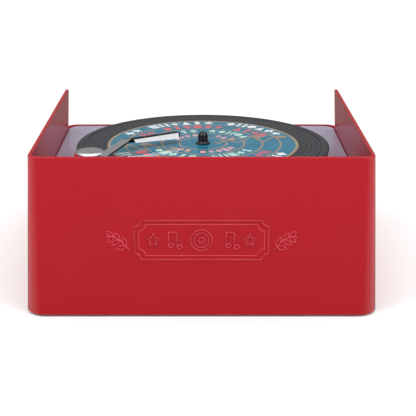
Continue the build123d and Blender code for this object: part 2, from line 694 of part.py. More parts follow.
# motor, its pulley and the belt round the ring under the platter
MOTOR_R, MOTOR_TALL = 12.0, 20.0
MOTOR_SHAFT_R = 1.0
with BuildPart() as motor:
    with BuildSketch(Plane.XY.offset(deck_bottom)):
        with Locations((MOTOR_X, MOTOR_Y)):
            Circle(MOTOR_R)
    extrude(amount=-MOTOR_TALL)
    fillet(motor.edges().group_by(Axis.Z)[0], 1.5)
    with BuildSketch(Plane.XY.offset(deck_bottom)):
        with Locations((MOTOR_X, MOTOR_Y)):
            Circle(3.0)
    extrude(amount=DECK_THICK - 0.2)
    with BuildSketch(Plane.XY.offset(deck_bottom - 12)):
        with Locations((MOTOR_X, MOTOR_Y)):
            Circle(MOTOR_SHAFT_R + RUNNING)
        with Locations(*motor_screws_at):
            Circle(PILOT_R)
    extrude(amount=20, mode=Mode.SUBTRACT)
save(motor.part, "motor")

with BuildPart() as motor_shaft:
    with BuildSketch(Plane.XY.offset(deck_bottom - 11.5)):
        with Locations((MOTOR_X, MOTOR_Y)):
            Circle(MOTOR_SHAFT_R)
    extrude(amount=BELT_Z + BELT_HEIGHT + 0.4 - deck_bottom + 11.5)
save(motor_shaft.part, "motor_shaft")

with BuildPart() as motor_pulley:
    with BuildSketch(Plane.XY.offset(BELT_Z - 1.6)):
        with Locations((MOTOR_X, MOTOR_Y)):
            Circle(PULLEY_R + 1.6)
    extrude(amount=1.0)
    with BuildSketch(Plane.XY.offset(BELT_Z - 0.6)):
        with Locations((MOTOR_X, MOTOR_Y)):
            Circle(PULLEY_R)
    extrude(amount=BELT_HEIGHT + 1.0)
    with BuildSketch(Plane.XY.offset(BELT_Z - 1.6)):
        with Locations((MOTOR_X, MOTOR_Y)):
            Circle(MOTOR_SHAFT_R)
    extrude(amount=BELT_HEIGHT + 2.0, mode=Mode.SUBTRACT)
save(motor_pulley.part, "motor_pulley")


def belt_outline(extra):
    """Region inside a belt that runs at distance extra outside both pulleys."""
    with BuildSketch(Plane.XY.offset(BELT_Z)) as outline:
        with Locations(spindle_axis):
            Circle(DRIVE_R + extra)
        with Locations((MOTOR_X, MOTOR_Y)):
            Circle(PULLEY_R + extra)
        make_hull()
    return outline.sketch


with BuildPart() as drive_belt:
    extrude(belt_outline(BELT_GAP + BELT_THICK), amount=BELT_HEIGHT)
    extrude(belt_outline(BELT_GAP), amount=BELT_HEIGHT, mode=Mode.SUBTRACT)
save(drive_belt.part, "drive_belt")

# ---------------------------------------------------------------- arm
TURRET_R, TURRET_BOTTOM, TURRET_TOP = 9.8, 71.2, 94.4
CAP_R, CAP_THICK = 9.1, 2.0
NOTCH_FLOOR = 89.6
NOTCH_DEPTH = ARM_OFFSET - ARM_WIDTH / 2 - 0.25  # turret axis to the flat beside the arm
PIN_R = 0.8
POST_BOTTOM, POST_TOP = 59.0, 88.6
ux, uy = cos(radians(ARM_HEADING)), sin(radians(ARM_HEADING))
side = (uy, -ux)  # level direction from the turret's axis to the arm
pivot = (ARM_X + ARM_OFFSET * side[0], ARM_Y + ARM_OFFSET * side[1])
elbow = (pivot[0] + ARM_REACH * ux, pivot[1] + ARM_REACH * uy)
fall = radians(ARM_SLOPE)
turret_plane = Plane(origin=(ARM_X, ARM_Y, TURRET_BOTTOM), x_dir=(ux, uy, 0), z_dir=(0, 0, 1))
arm_plane = Plane(
    origin=(pivot[0], pivot[1], ARM_PIN_Z),
    x_dir=(ux * cos(fall), uy * cos(fall), -sin(fall)),
    z_dir=(ux * sin(fall), uy * sin(fall), cos(fall)),
)  # local x runs along the arm, local z is up through it
pin_plane = Plane(origin=(ARM_X, ARM_Y, ARM_PIN_Z), x_dir=(ux, uy, 0), z_dir=(side[0], side[1], 0))

with BuildPart() as tonearm_base:
    with BuildSketch(Plane.XY.offset(DECK_TOP)):
        with Locations((ARM_X, ARM_Y)):
            Circle(TURRET_R + 2.4)
            Circle(SHAFT_R, mode=Mode.SUBTRACT)
    extrude(amount=1.4)
    circles = tonearm_base.edges().filter_by(GeomType.CIRCLE)
    fillet(circles.filter_by(lambda e: e.radius > TURRET_R).group_by(Axis.Z)[-1], 0.6)
save(tonearm_base.part, "tonearm_base")

with BuildPart() as tonearm_post:
    with BuildSketch(Plane.XY.offset(POST_BOTTOM)):
        with Locations((ARM_X, ARM_Y)):
            Circle(SHAFT_R)
    extrude(amount=POST_TOP - POST_BOTTOM)
    chamfer(tonearm_post.edges(), 0.4)
save(tonearm_post.part, "tonearm_post")

with BuildPart() as post_nut:
    with BuildSketch(Plane.XY.offset(deck_bottom)):
        with Locations((ARM_X, ARM_Y)):
            RegularPolygon(5.8, 6)
            Circle(SHAFT_R, mode=Mode.SUBTRACT)
    extrude(amount=-4)
save(post_nut.part, "post_nut")

with BuildPart() as turret:
    with BuildSketch(turret_plane):
        Circle(TURRET_R)
    extrude(amount=TURRET_TOP - TURRET_BOTTOM)
    with BuildSketch(turret_plane):
        Circle(SHAFT_R + RUNNING)
    extrude(amount=POST_TOP + 0.4 - TURRET_BOTTOM, mode=Mode.SUBTRACT)
    # the flat that the arm stands beside, open to the front, the side and the back
    with BuildSketch(turret_plane.offset(NOTCH_FLOOR - TURRET_BOTTOM)):
        with Locations((0, -NOTCH_DEPTH - TURRET_R)):
            Rectangle(4 * TURRET_R, 2 * TURRET_R)
    extrude(amount=TURRET_TOP, mode=Mode.SUBTRACT)
    with BuildSketch(pin_plane):
        Circle(PIN_R)
    extrude(amount=TURRET_R, mode=Mode.SUBTRACT)
save(turret.part, "turret")

with BuildPart() as turret_cap:
    with BuildSketch(turret_plane.offset(TURRET_TOP - TURRET_BOTTOM)):
        Circle(CAP_R)
    extrude(amount=CAP_THICK)
    chamfer(turret_cap.edges().group_by(Axis.Z)[-1], 1.1)
    fillet(turret_cap.edges().group_by(Axis.Z)[-1], 0.3)
save(turret_cap.part, "turret_cap")

with BuildPart() as arm_pin:
    with BuildSketch(pin_plane):
        Circle(PIN_R)
    extrude(amount=ARM_OFFSET + ARM_WIDTH / 2 + 0.3)
    with BuildSketch(pin_plane.offset(ARM_OFFSET + ARM_WIDTH / 2 + 0.3)):
        Circle(1.5)
    extrude(amount=0.8)
save(arm_pin.part, "arm_pin")

STRIP_THICK = 0.4
HEAD_OVERLAP = 2.4  # the headshell's root runs back into the arm by this much
head_plane = Plane(
    origin=(elbow[0], elbow[1], HEAD_BOTTOM),
    x_dir=(cos(radians(HEAD_HEADING)), sin(radians(HEAD_HEADING)), 0),
    z_dir=(0, 0, 1),
)  # local x runs towards the tip
head_side = 1 if head_plane.y_dir.Y > 0 else -1  # the face that looks to the back
head_tall = HEAD_TOP - HEAD_BOTTOM
face_run = head_tall * tan(radians(FACE_LEAN))
face_stop = HEAD_LENGTH - FACE_END
across = Plane(origin=head_plane.origin, x_dir=head_plane.y_dir * head_side, z_dir=head_plane.x_dir)
across_up = 1 if across.y_dir.Z > 0 else -1
head_profile_plane = Plane(origin=head_plane.origin, x_dir=head_plane.x_dir, z_dir=head_plane.y_dir)
profile_up = 1 if head_profile_plane.y_dir.Z > 0 else -1
with BuildPart() as head_profile:
    with BuildSketch(head_profile_plane):
        with BuildLine():
            Polyline(
                (-HEAD_OVERLAP, profile_up * HEAD_BOTTOM_RISE),
                (0, profile_up * HEAD_BOTTOM_RISE),
                (HEAD_LENGTH, 0),
                (HEAD_LENGTH, profile_up * head_tall),
                (0, profile_up * (head_tall - HEAD_TOP_DROP)),
                (-HEAD_OVERLAP, profile_up * (head_tall - HEAD_TOP_DROP)),
                close=True,
            )
        make_face()
    extrude(amount=2 * HEAD_DEPTH, both=True)

# headshell: a plain bar with a rounded tip, and a wedge that carries the leaning face
with BuildPart() as headshell:
    with BuildSketch(across.offset(-HEAD_OVERLAP)):
        with Locations((0, across_up * head_tall / 2)):
            Rectangle(HEAD_DEPTH, head_tall)
    extrude(amount=HEAD_OVERLAP + HEAD_LENGTH)
    tip_edges = headshell.edges().sort_by(Axis(across.origin, across.z_dir))[-4:]
    fillet(tip_edges.sort_by(Axis.Z)[-1], TIP_R)
    with BuildSketch(across.offset(FACE_START)):
        with BuildLine():
            Polyline(
                (HEAD_DEPTH / 2 - 0.2, 0),
                (HEAD_DEPTH / 2 + face_run, 0),
                (HEAD_DEPTH / 2, across_up * head_tall),
                (HEAD_DEPTH / 2 - 0.2, across_up * head_tall),
                close=True,
            )
        make_face()
    extrude(amount=face_stop - FACE_START)
    add(head_profile.part, mode=Mode.INTERSECT)

with BuildPart() as tonearm:
    with BuildSketch(arm_plane.offset(ARM_RISE - ARM_THICK)):
        with BuildLine():
            Polyline(
                (0, ARM_WIDTH / 2),
                (ARM_REACH + 1, ARM_WIDTH / 2),
                (ARM_REACH + 1, -ARM_WIDTH / 2),
                (0, -ARM_WIDTH / 2),
            )
            ThreePointArc((0, -ARM_WIDTH / 2), (-ARM_WIDTH / 2, 0), (0, ARM_WIDTH / 2))
        make_face()
    extrude(amount=ARM_THICK - STRIP_THICK)
    # knuckle round the pin
    with BuildSketch(pin_plane.offset(ARM_OFFSET - ARM_WIDTH / 2)):
        Circle(ARM_RISE - STRIP_THICK)
    extrude(amount=ARM_WIDTH)
    add(headshell.part)
    with BuildSketch(pin_plane):
        Circle(PIN_R + RUNNING)
    extrude(amount=3 * ARM_OFFSET, mode=Mode.SUBTRACT)
save(tonearm.part, "tonearm")

with BuildPart() as arm_strip:
    with BuildSketch(arm_plane.offset(ARM_RISE - STRIP_THICK)):
        with BuildLine():
            Polyline(
                (0, ARM_WIDTH / 2),
                (ARM_REACH - 4, ARM_WIDTH / 2),
                (ARM_REACH + 1, -ARM_WIDTH / 2),
                (0, -ARM_WIDTH / 2),
            )
            ThreePointArc((0, -ARM_WIDTH / 2), (-ARM_WIDTH / 2, 0), (0, ARM_WIDTH / 2))
        make_face()
    extrude(amount=STRIP_THICK)
save(arm_strip.part, "arm_strip")

FACE_THICK = 0.5
face_plane = Plane(
    origin=head_plane.from_local_coords((0, head_side * (HEAD_DEPTH / 2 + face_run), 0)),
    x_dir=head_plane.x_dir,
    z_dir=head_plane.y_dir * head_side * cos(radians(FACE_LEAN)) + Vector(0, 0, sin(radians(FACE_LEAN))),
)
up = 1 if face_plane.y_dir.Z > 0 else -1
face_tall = head_tall / cos(radians(FACE_LEAN)) - 0.1
with BuildPart() as headshell_face:
    with BuildSketch(face_plane):
        with BuildLine():
            Polyline(
                (FACE_START + 0.8, 0),
                (face_stop, 0),
                (face_stop, up * face_tall),
                (FACE_START - 0.8, up * face_tall),
                close=True,
            )
        make_face()
    extrude(amount=FACE_THICK)
    add(head_profile.part, mode=Mode.INTERSECT)
save(headshell_face.part, "headshell_face")

STYLUS_TALL = 1.5
STYLUS_R = 0.6
STYLUS_BACK = 4.5  # from the headshell's open end
STYLUS_SEAT = 0.3  # trimmed off where it meets the sloping underside
with BuildPart() as stylus:
    with BuildSketch(head_plane.offset(STYLUS_SEAT)):
        with Locations((HEAD_LENGTH - STYLUS_BACK, -head_side * HEAD_DEPTH / 4)):
            Circle(STYLUS_R)
    extrude(amount=-STYLUS_TALL - STYLUS_SEAT, taper=14)
    add(tonearm.part, mode=Mode.SUBTRACT)
save(stylus.part, "stylus")
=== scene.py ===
"""Looks of the tabletop record player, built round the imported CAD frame.

Everything is in metres in the row frame: +Z up, the low front with the controls at -Y,
the tall wall with the raised ornament at +Y. Lengths written with MM are millimetres.
"""

import json
import math

import bmesh
import bpy
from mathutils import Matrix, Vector


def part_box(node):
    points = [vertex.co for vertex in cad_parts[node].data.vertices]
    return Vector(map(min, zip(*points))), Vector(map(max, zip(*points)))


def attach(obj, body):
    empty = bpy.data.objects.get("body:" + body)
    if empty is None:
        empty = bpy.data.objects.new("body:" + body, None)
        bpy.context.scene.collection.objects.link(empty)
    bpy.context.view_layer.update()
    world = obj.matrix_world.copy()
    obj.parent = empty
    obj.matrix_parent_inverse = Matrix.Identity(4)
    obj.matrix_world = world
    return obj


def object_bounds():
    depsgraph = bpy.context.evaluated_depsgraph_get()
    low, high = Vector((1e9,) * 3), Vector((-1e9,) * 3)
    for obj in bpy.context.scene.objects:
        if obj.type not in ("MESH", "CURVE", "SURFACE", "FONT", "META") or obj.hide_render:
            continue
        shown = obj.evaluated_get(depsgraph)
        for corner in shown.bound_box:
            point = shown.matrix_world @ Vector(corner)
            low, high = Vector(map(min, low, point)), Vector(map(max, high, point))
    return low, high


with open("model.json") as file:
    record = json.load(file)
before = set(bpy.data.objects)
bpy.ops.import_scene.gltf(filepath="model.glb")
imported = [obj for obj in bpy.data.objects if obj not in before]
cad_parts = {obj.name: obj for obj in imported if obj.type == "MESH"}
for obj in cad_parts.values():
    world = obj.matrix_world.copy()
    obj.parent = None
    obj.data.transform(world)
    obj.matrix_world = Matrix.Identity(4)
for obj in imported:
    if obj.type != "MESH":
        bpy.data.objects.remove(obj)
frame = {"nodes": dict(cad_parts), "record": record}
cad_low, cad_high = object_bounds()

MM = 0.001
DRAFT_SLOPE = math.tan(math.radians(2.8))  # the walls lean in by this much per metre of height

case_low, case_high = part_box("case_shell")
label_low, label_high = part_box("record_label")
record_low, record_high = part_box("record")
spindle_x = (record_low.x + record_high.x) / 2
label_r = (label_high.y - label_low.y) / 2
record_r = (record_high.y - record_low.y) / 2
base_half = case_high.y + case_low.z * DRAFT_SLOPE  # half the footprint at the table


# ------------------------------------------------------------------ node materials
def linear(srgb):
    """Colour given as 0-255 display values, as linear RGBA."""
    def channel(v):
        v = v / 255
        return v / 12.92 if v <= 0.04045 else ((v + 0.055) / 1.055) ** 2.4

    return tuple(channel(v) for v in srgb) + (1.0,)


class Nodes:
    """A new material with its Principled shader and short calls that add nodes to it."""

    def __init__(self, name):
        self.material = bpy.data.materials.new(name)
        self.material.use_nodes = True
        self.tree = self.material.node_tree
        self.shader = self.tree.nodes["Principled BSDF"]
        self.coords = self.add("ShaderNodeTexCoord").outputs["Object"]

    def add(self, kind, **settings):
        node = self.tree.nodes.new(kind)
        for key, value in settings.items():
            setattr(node, key, value)
        return node

    def link(self, source, target):
        self.tree.links.new(source, target)

    def set(self, **values):
        """Constants on the shader's own sockets."""
        for key, value in values.items():
            self.shader.inputs[key.replace("_", " ")].default_value = value

    def math(self, operation, a, b=None, clamp=False):
        node = self.add("ShaderNodeMath", operation=operation, use_clamp=clamp)
        for socket, value in zip(node.inputs, (a, b)):
            if value is None:
                continue
            if isinstance(value, (int, float)):
                socket.default_value = value
            else:
                self.link(value, socket)
        return node.outputs[0]

    def noise(self, scale, detail=3.0, vector=None, rough=0.5):
        node = self.add("ShaderNodeTexNoise")
        node.inputs["Scale"].default_value = scale
        node.inputs["Detail"].default_value = detail
        node.inputs["Roughness"].default_value = rough
        self.link(vector or self.coords, node.inputs["Vector"])
        return node.outputs["Fac"]

    def spread(self, value, low, high, start=0.3, end=0.7):
        """Map a texture value from start..end to low..high."""
        node = self.add("ShaderNodeMapRange")
        self.link(value, node.inputs["Value"])
        limits = {"From Min": start, "From Max": end, "To Min": low, "To Max": high}
        for key, number in limits.items():
            node.inputs[key].default_value = number
        return node.outputs["Result"]

    def blend(self, factor, first, second):
        """Mix of two colours; each is RGBA or a socket."""
        node = self.add("ShaderNodeMix", data_type="RGBA")
        self.link(factor, node.inputs["Factor"])
        for socket, value in ((node.inputs["A"], first), (node.inputs["B"], second)):
            self.colour(socket, value)
        return node.outputs["Result"]

    def colour(self, socket, value):
        """Set or link a colour; a Mix node has sockets of one name in several types."""
        target = [s for s in socket.node.inputs if s.name == socket.name and s.type == "RGBA"]
        socket = target[0] if target else socket
        if isinstance(value, tuple):
            socket.default_value = value
        else:
            self.link(value, socket)

    def bump(self, height, strength, distance, normal=None):
        node = self.add("ShaderNodeBump")
        node.inputs["Strength"].default_value = strength
        node.inputs["Distance"].default_value = distance
        self.link(height, node.inputs["Height"])
        if normal is not None:
            self.link(normal, node.inputs["Normal"])
        return node.outputs["Normal"]

    def edges(self, radius, gain):
        """0 on open surface, rising to 1 along edges, which are made lighter: as wear, and on the red
        plastic also as a painted highlight.
        """
        bevel = self.add("ShaderNodeBevel", samples=4)
        bevel.inputs["Radius"].default_value = radius
        geometry = self.add("ShaderNodeNewGeometry")
        dot = self.add("ShaderNodeVectorMath", operation="DOT_PRODUCT")
        self.link(bevel.outputs["Normal"], dot.inputs[0])
        self.link(geometry.outputs["Normal"], dot.inputs[1])
        away = self.math("SUBTRACT", 1.0, dot.outputs["Value"])
        return self.math("MULTIPLY", away, gain, clamp=True)

    def radius(self):
        """Distance from the spindle's axis, in metres."""
        split = self.add("ShaderNodeSeparateXYZ")
        self.link(self.coords, split.inputs[0])
        x = self.math("SUBTRACT", split.outputs["X"], spindle_x)
        y = split.outputs["Y"]
        squares = self.math("ADD", self.math("MULTIPLY", x, x), self.math("MULTIPLY", y, y))
        return self.math("SQRT", squares)


EDGE_RADIUS, EDGE_GAIN = 0.6 * MM, 2.2  # of the lighter edges on moulded pieces


def shade(name, colour, spread=0.06, scale=40.0, rough=(0.3, 0.4), grain=900.0, bump=0.1,
          depth=0.05 * MM, edge=None, **constants):
    """A procedural surface: cloudy colour, uneven roughness, fine grain and lighter edges."""
    n = Nodes(name)
    base = linear(colour)
    dark = tuple(c * (1 - spread) for c in base[:3]) + (1.0,)
    light = tuple(min(1.0, c * (1 + spread)) for c in base[:3]) + (1.0,)
    tone = n.blend(n.spread(n.noise(scale), 0.0, 1.0), dark, light)
    if edge is not None:
        tone = n.blend(n.edges(EDGE_RADIUS, EDGE_GAIN), tone, linear(edge))
    n.link(tone, n.shader.inputs["Base Color"])
    n.link(n.spread(n.noise(scale * 3.1, 4.0), rough[0], rough[1]), n.shader.inputs["Roughness"])
    n.link(n.bump(n.noise(grain, 2.0), bump, depth), n.shader.inputs["Normal"])
    n.set(**constants)
    return n.material


def red_plastic(name, edge_gain, edge_colour):
    """Glossy moulded red plastic, painted a little darker towards the table as shade, with a faint
    orange peel.
    """
    n = Nodes(name)
    split = n.add("ShaderNodeSeparateXYZ")
    n.link(n.coords, split.inputs[0])
    # painted shade: the red darkens towards the table, where the walls get less light
    height = n.spread(split.outputs["Z"], 0.0, 1.0, 0.0, case_high.z)
    tone = n.blend(height, linear((158, 8, 20)), linear((166, 9, 27)))
    tone = n.blend(n.spread(n.noise(26.0), 0.0, 0.3, 0.1, 0.9), tone, linear((151, 7, 18)))
    # lighter edges: part wear, part painted highlight along rims and corners that catch the light
    tone = n.blend(n.edges(0.7 * MM, edge_gain), tone, linear(edge_colour))
    n.link(tone, n.shader.inputs["Base Color"])
    n.link(n.spread(n.noise(30.0, 2.0), 0.24, 0.3, 0.1, 0.9), n.shader.inputs["Roughness"])
    n.link(n.bump(n.noise(420.0, 2.0), 0.004, 0.03 * MM), n.shader.inputs["Normal"])
    n.set(IOR=1.5, Specular_IOR_Level=0.3)
    return n.material


GROOVE_PITCH = 0.7 * MM
BANDS = 5  # of playing surface between the label and the raised edge


def vinyl():
    """Pressed record: fine grooves in bands painted grey for their soft sheen, parted by dark glossy
    lines.
    """
    n = Nodes("vinyl")
    r = n.radius()
    line = n.add("ShaderNodeCombineXYZ")
    n.link(r, line.inputs["X"])
    streak = n.noise(900.0, 3.0, line.outputs[0])
    groove = n.math("SINE", n.math("MULTIPLY", r, 2 * math.pi / GROOVE_PITCH))
    step = (record_r - label_r - 3.6 * MM) / BANDS
    turn = n.math("MULTIPLY", n.math("SUBTRACT", r, label_r + 2.0 * MM), 2 * math.pi / step)
    gap = n.spread(n.math("COSINE", turn), 0.0, 1.0, 0.1, 0.85)
    # painted sheen: the grooved bands get a grey colour, streaked round the rings, for the light their
    # grooves scatter; the gaps keep the black
    groove_sheen = n.blend(n.spread(streak, 0.0, 1.0), linear((30, 31, 36)), linear((54, 56, 62)))
    n.link(n.blend(gap, groove_sheen, linear((3, 3, 4))), n.shader.inputs["Base Color"])
    rough = n.math("SUBTRACT", n.spread(streak, 0.3, 0.42), n.math("MULTIPLY", gap, 0.16))
    n.link(rough, n.shader.inputs["Roughness"])
    height = n.math("ADD", n.math("MULTIPLY", groove, 0.5), streak)
    n.link(n.bump(height, 0.3, 0.05 * MM), n.shader.inputs["Normal"])
    n.set(IOR=1.5, Specular_IOR_Level=0.36, Specular_Tint=(0.86, 0.93, 1.0, 1.0))
    return n.material


def label_paper():
    """Printed and varnished teal paper with a slight mottle."""
    n = Nodes("label_teal")
    cloud = n.spread(n.noise(60.0, 4.0), 0.0, 1.0)
    tone = n.blend(cloud, linear((10, 106, 134)), linear((20, 120, 148)))
    tone = n.blend(n.spread(n.noise(900.0, 2.0), 0.0, 0.25), tone, linear((6, 94, 122)))
    n.link(tone, n.shader.inputs["Base Color"])
    n.link(n.spread(n.noise(140.0), 0.03, 0.06), n.shader.inputs["Roughness"])
    n.link(n.bump(n.noise(1500.0, 2.0), 0.01, 0.02 * MM), n.shader.inputs["Normal"])
    n.set(IOR=1.62)
    return n.material


def brushed(name, colour, rough, stretch=(1.0, 30.0, 1.0), **constants):
    """Metal with fine straight scratches along one axis."""
    n = Nodes(name)
    mapping = n.add("ShaderNodeMapping")
    mapping.inputs["Scale"].default_value = stretch
    n.link(n.coords, mapping.inputs["Vector"])
    scratch = n.noise(260.0, 4.0, mapping.outputs[0], 0.65)
    base = linear(colour)
    dark = tuple(c * 0.86 for c in base[:3]) + (1.0,)
    n.link(n.blend(n.spread(scratch, 0.0, 1.0), dark, base), n.shader.inputs["Base Color"])
    n.link(n.spread(scratch, rough[0], rough[1]), n.shader.inputs["Roughness"])
    n.link(n.bump(scratch, 0.08, 0.02 * MM), n.shader.inputs["Normal"])
    n.set(Metallic=1.0, **constants)
    return n.material


# red_shell: edges a little lighter, part wear and part painted highlight
red = red_plastic("red_shell", 1.4, (210, 60, 80))
# red_raised: much lighter edges, a painted highlight along the ornament's ridges
raised_red = red_plastic("red_raised", 6.0, (236, 92, 108))
teal = label_paper()
gloss_black = shade("gloss_black", (8, 8, 10), 0.2, 80.0, (0.04, 0.08), 300.0, 0.01, IOR=1.5)
arm_black = shade("arm_black", (7, 7, 9), 0.2, 80.0, (0.3, 0.4), 900.0, 0.05,
                  Specular_IOR_Level=0.06)
mirror_chrome = brushed("mirror_chrome", (238, 240, 243), (0.03, 0.09), (1.0, 4.0, 4.0))
satin_chrome = brushed("satin_chrome", (244, 246, 250), (0.1, 0.18), (3.0, 20.0, 3.0))
cap_chrome = brushed("cap_chrome", (244, 246, 250), (0.03, 0.07), (3.0, 20.0, 3.0))
steel = brushed("plain_steel", (178, 180, 184), (0.22, 0.36))
looks = {
    "red_plastic": red,
    "deck_plastic": shade("deck_lilac", (168, 162, 184), 0.05, 22.0, (0.10, 0.17), 500.0, 0.02,
                          IOR=1.52),
    "grille_plastic": shade("grille_lilac", (160, 158, 176), 0.05, 30.0, (0.25, 0.34), 900.0, 0.06,
                            edge=(214, 212, 224)),
    "black_plastic": shade("base_black", (26, 26, 28), 0.2, 60.0, (0.45, 0.6), 1400.0, 0.35,
                           edge=(70, 70, 72)),
    "rubber": shade("foot_rubber", (20, 20, 20), 0.2, 90.0, (0.7, 0.85), 1600.0, 0.4),
    "belt_rubber": shade("belt_rubber", (16, 16, 16), 0.2, 120.0, (0.55, 0.7), 1800.0, 0.3),
    "steel": steel,
    "spring_metal": brushed("spring_steel", (205, 205, 208), (0.15, 0.25)),
    "magnet": shade("magnet_ferrite", (42, 42, 44), 0.15, 90.0, (0.5, 0.7), 900.0, 0.3),
    "brass": brushed("turned_brass", (206, 170, 96), (0.18, 0.3)),
    "nylon": shade("nylon_white", (224, 222, 214), 0.04, 60.0, (0.4, 0.5), 900.0, 0.1),
    "battery_wrap": shade("cell_wrap", (58, 66, 74), 0.15, 30.0, (0.2, 0.3), 700.0, 0.03),
    "circuit_board": shade("board_green", (24, 92, 52), 0.2, 160.0, (0.25, 0.4), 1100.0, 0.15),
    "component_black": shade("chip_black", (24, 24, 26), 0.2, 200.0, (0.4, 0.55), 1500.0, 0.2),
    "paper_cone": shade("cone_paper", (34, 34, 36), 0.25, 220.0, (0.75, 0.9), 700.0, 0.6),
    "felt": shade("mat_felt", (26, 26, 28), 0.4, 500.0, (0.85, 0.95), 2400.0, 0.9, 0.1 * MM),
    "vinyl": vinyl(),
    "label_print": teal,
    "black_gloss": gloss_black,
    "chrome": mirror_chrome,
}
special = {"turret_cap": cap_chrome, "arm_strip": satin_chrome, "tonearm": arm_black}
slot_of = {part["node"]: part["material_slot"] for part in frame["record"]["subparts"]}
for node, piece in frame["nodes"].items():
    for material_slot in piece.material_slots:
        material_slot.material = special.get(node, looks[slot_of[node]])


def ink(name, colour, spread):
    """Varnished print."""
    return shade(name, colour, spread, 300.0, (0.2, 0.3), 1800.0, 0.03, Coat_Weight=0.5)


gold_ink = shade("gold_ink", (176, 150, 118), 0.12, 400.0, (0.28, 0.42), 1800.0, 0.05,
                 Metallic=0.35, Coat_Weight=0.5)
white_ink = ink("white_ink", (236, 238, 242), 0.02)
coral_ink = ink("coral_ink", (222, 84, 88), 0.06)
mint_ink = ink("mint_ink", (192, 228, 208), 0.04)
pink_ink = ink("pink_ink", (236, 168, 178), 0.05)


# ------------------------------------------------------------------ mesh helpers
def new_piece(name, verts, faces, material, body, smooth=False):
    """A mesh object that rides on a body and takes its finish from a slot."""
    mesh = bpy.data.meshes.new(name)
    mesh.from_pydata([tuple(v) for v in verts], [], faces)
    mesh.validate()
    shape = bmesh.new()
    shape.from_mesh(mesh)
    bmesh.ops.recalc_face_normals(shape, faces=shape.faces)
    shape.to_mesh(mesh)
    shape.free()
    mesh.materials.append(material)
    for polygon in mesh.polygons:
        polygon.use_smooth = smooth
    piece = bpy.data.objects.new(name, mesh)
    bpy.context.scene.collection.objects.link(piece)
    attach(piece, body)
    return piece


def prisms(outlines, place, thick):
    """Closed prisms over flat outlines. place(u, v, h) gives the point at height h."""
    verts, faces = [], []
    for outline in outlines:
        start, count = len(verts), len(outline)
        verts += [place(u, v, 0.0) for u, v in outline] + [place(u, v, thick) for u, v in outline]
        faces.append([start + i for i in range(count)])
        faces.append([start + count + i for i in reversed(range(count))])
        for i in range(count):
            j = (i + 1) % count
            faces.append([start + i, start + j, start + count + j, start + count + i])
    return verts, faces


def normals_along(path, closed):
    """Mitred sideways unit vectors at each point of a flat path."""
    count = len(path)
    result = []
    for i, point in enumerate(path):
        before = path[i - 1] if closed or i > 0 else None
        after = path[(i + 1) % count] if closed or i < count - 1 else None
        legs = [(b[0] - a[0], b[1] - a[1]) for a, b in ((before, point), (point, after)) if a and b]
        units = [(dx / math.hypot(dx, dy), dy / math.hypot(dx, dy)) for dx, dy in legs]
        nx = sum(-uy for _, uy in units)
        ny = sum(ux for ux, _ in units)
        size = math.hypot(nx, ny) or 1.0
        nx, ny = nx / size, ny / size
        spread = max(0.35, -units[0][1] * nx + units[0][0] * ny)
        result.append((nx / spread, ny / spread))
    return result


def ribbon(path, width):
    """Outline of a flat line of constant width along an open path."""
    sides = normals_along(path, False)
    left = [(p[0] + n[0] * width / 2, p[1] + n[1] * width / 2) for p, n in zip(path, sides)]
    right = [(p[0] - n[0] * width / 2, p[1] - n[1] * width / 2) for p, n in zip(path, sides)]
    return left + right[::-1]


RIDGE_SUNK = 0.3 * MM  # depth of a raised line's foot below the wall's surface
RIDGE_SECTION = [  # shares of the line's width and height; None is the foot
    (-0.5, None), (-0.5, 0.0), (-0.34, 0.62), (-0.14, 0.94),
    (0.14, 0.94), (0.34, 0.62), (0.5, 0.0), (0.5, None),
]


def ridge(path, closed, width, height, place):
    """A raised moulded line of rounded section along a path; its foot is sunk into the wall."""
    sides = normals_along(path, closed)
    verts, faces = [], []
    for (u, v), (nu, nv) in zip(path, sides):
        for across, up in RIDGE_SECTION:
            level = -RIDGE_SUNK if up is None else up * height
            verts.append(place(u + nu * across * width, v + nv * across * width, level))
    ring, count = len(RIDGE_SECTION), len(path)
    for i in range(count if closed else count - 1):
        a, b = i * ring, ((i + 1) % count) * ring
        for k in range(ring):
            m = (k + 1) % ring
            faces.append([a + k, a + m, b + m, b + k])
    if not closed:
        faces.append(list(range(ring)))
        faces.append([(count - 1) * ring + k for k in reversed(range(ring))])
    return verts, faces


def joined(shapes):
    """One vertex and face list from several."""
    verts, faces = [], []
    for some_verts, some_faces in shapes:
        start = len(verts)
        verts += some_verts
        faces += [[start + k for k in face] for face in some_faces]
    return verts, faces


def arc(cx, cy, r, start, end, steps):
    """Points of a circular arc; angles in degrees."""
    angles = [math.radians(start + (end - start) * i / steps) for i in range(steps + 1)]
    return [(cx + r * math.cos(a), cy + r * math.sin(a)) for a in angles]


# ------------------------------------------------------------------ record label print
PRINT_THICK = 0.03 * MM
RING_RADII = [54.0, 41.4, 28.8, 16.5]
RING_WIDTH = 1.15
RING_STEPS = 144
SPRIG_GAP = 22.0  # degrees on each side of +X and -X kept free for the sprigs
GROUP = 7  # every seventh place in a row of marks is left empty


def on_label(u, v, h):
    """A point of the label's top, from millimetres about the spindle."""
    return (spindle_x + u * MM, v * MM, label_high.z + h)


def ring_quarters(inner, outer):
    """The four quarter outlines of a flat ring."""
    steps = RING_STEPS // 4
    return [
        [*arc(0, 0, outer, a, a + 90, steps), *arc(0, 0, inner, a + 90, a, steps)]
        for a in (0, 90, 180, 270)
    ]


def print_rings():
    """Gold rings between the rows of marks, and a wider one along the label's edge."""
    outlines = []
    for r in RING_RADII:
        outlines += ring_quarters(r - RING_WIDTH / 2, r + RING_WIDTH / 2)
    edge = label_r / MM
    outlines += ring_quarters(edge - 1.9, edge - 0.05)
    verts, faces = prisms(outlines, on_label, PRINT_THICK)
    new_piece("label_rings", verts, faces, gold_ink, "turntable")


# plain marks on a unit square: u runs round the ring and v outwards
def disc(cu, cv, r, steps=14):
    return arc(cu, cv, r, 0, 360 - 360 / steps, steps - 1)


